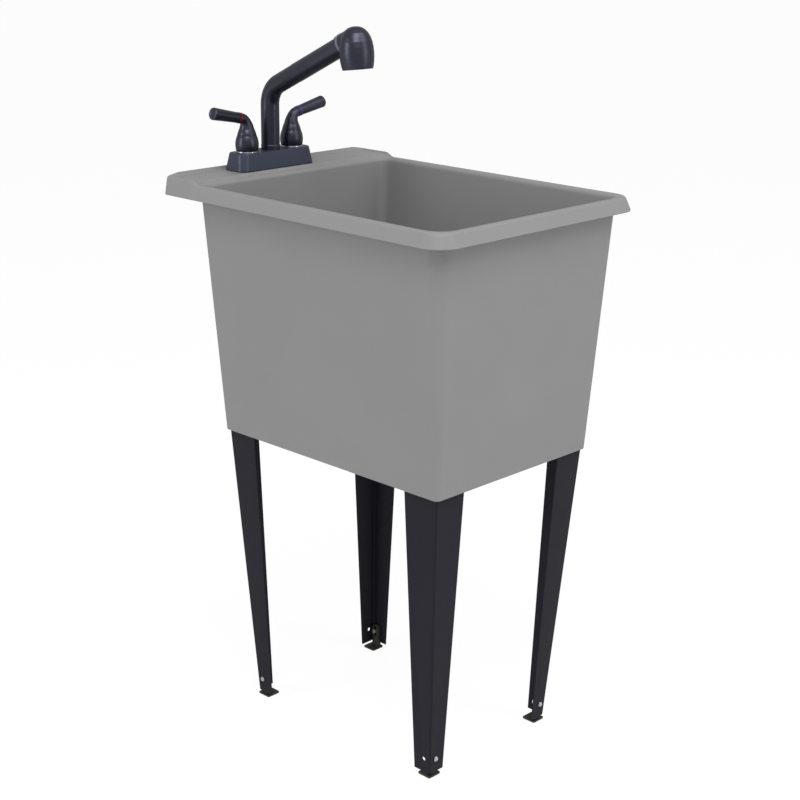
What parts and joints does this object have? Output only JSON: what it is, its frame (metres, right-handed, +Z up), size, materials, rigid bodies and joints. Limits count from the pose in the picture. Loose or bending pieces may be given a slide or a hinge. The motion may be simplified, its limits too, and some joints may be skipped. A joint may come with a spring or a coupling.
{
  "type": "utility laundry sink",
  "caption": "Freestanding moulded laundry tub on splayed sheet-steel legs, with levelling feet, a basket drain and a deck-mounted lever faucet with a pull-out spray wand.",
  "frame": {"origin": "on the floor, under the middle of the rim's outline", "axes": "+X along the short side, from the hot handle to the cold handle; +Y from the open front to the faucet deck; +Z up"},
  "size_m": [0.457, 0.612, 1.148],
  "materials": {
    "tub": "fine satin thermoplastic",
    "steel": "satin black powder coat on sheet steel",
    "foot": "moulded black plastic",
    "zinc": "zinc-plated steel",
    "chrome": "bright",
    "rubber": "soft black",
    "nylon": "natural",
    "black": "satin gloss, blue-black",
    "brass": "machined",
    "red": "index band",
    "blue": "index band",
    "grey_trim": "satin"
  },
  "bodies": {
    "sink": {"tub": "tub", "leg_front_left": "steel", "leg_front_right": "steel", "leg_back_left": "steel", "leg_back_right": "steel", "foot_screws": "zinc", "foot_nuts": "zinc", "drain_body": "chrome", "drain_gasket": "rubber", "drain_washer": "nylon", "drain_locknut": "zinc", "faucet_gasket": "rubber", "faucet_cover": "black", "faucet_waterway": "brass", "mounting_washers": "rubber", "mounting_nuts": "nylon", "bonnet_nuts": "brass", "trim_rings": "chrome", "hot_bell": "black", "cold_bell": "black", "spout_collar": "black", "spout_orings": "rubber"},
    "foot_front_left": {"foot_front_left": "foot"},
    "foot_front_right": {"foot_front_right": "foot"},
    "foot_back_left": {"foot_back_left": "foot"},
    "foot_back_right": {"foot_back_right": "foot"},
    "hot_valve": {"hot_stem": "brass", "hot_handle": "black", "hot_ring": "red", "hot_lever_cap": "black", "hot_set_screw": "zinc"},
    "cold_valve": {"cold_stem": "brass", "cold_handle": "black", "cold_ring": "blue", "cold_lever_cap": "black", "cold_set_screw": "zinc"},
    "spout": {"spout_tube": "black", "dock_bushing": "nylon"},
    "wand": {"wand": "black", "hose_nipple": "brass", "head_gasket": "grey_trim", "spray_head": "black", "nozzle_face": "rubber"},
    "stopper": {"drain_stopper": "rubber"}
  },
  "joints": [
    {"name": "front_left_leveller", "type": "slide", "parent": "sink", "child": "foot_front_left", "axis": [-0.0618, -0.0698, 0.9956], "range_m": [-0.004, 0.004]},
    {"name": "front_right_leveller", "type": "slide", "parent": "sink", "child": "foot_front_right", "axis": [0.0618, -0.0698, 0.9956], "range_m": [-0.004, 0.004]},
    {"name": "back_left_leveller", "type": "slide", "parent": "sink", "child": "foot_back_left", "axis": [-0.0619, 0.0566, 0.9965], "range_m": [-0.004, 0.004]},
    {"name": "back_right_leveller", "type": "slide", "parent": "sink", "child": "foot_back_right", "axis": [0.0619, 0.0566, 0.9965], "range_m": [-0.004, 0.004]},
    {"name": "hot_turn", "type": "hinge", "parent": "sink", "child": "hot_valve", "pos_m": [-0.0759, 0.272, 0.935], "axis": [0, 0, 1], "range_deg": [0, 90]},
    {"name": "cold_turn", "type": "hinge", "parent": "sink", "child": "cold_valve", "pos_m": [0.0225, 0.272, 0.935], "axis": [0, 0, 1], "range_deg": [-90, 0]},
    {"name": "spout_swivel", "type": "hinge", "parent": "sink", "child": "spout", "pos_m": [-0.0267, 0.2695, 0.935], "axis": [0, 0, 1], "range_deg": [-90, 90]},
    {"name": "wand_pull", "type": "slide", "parent": "spout", "child": "wand", "axis": [0, -0.9026, 0.4305], "range_m": [0, 0.045]},
    {"name": "stopper_lift", "type": "slide", "parent": "sink", "child": "stopper", "axis": [0, 0, 1], "range_m": [0, 0.04]}
  ]
}
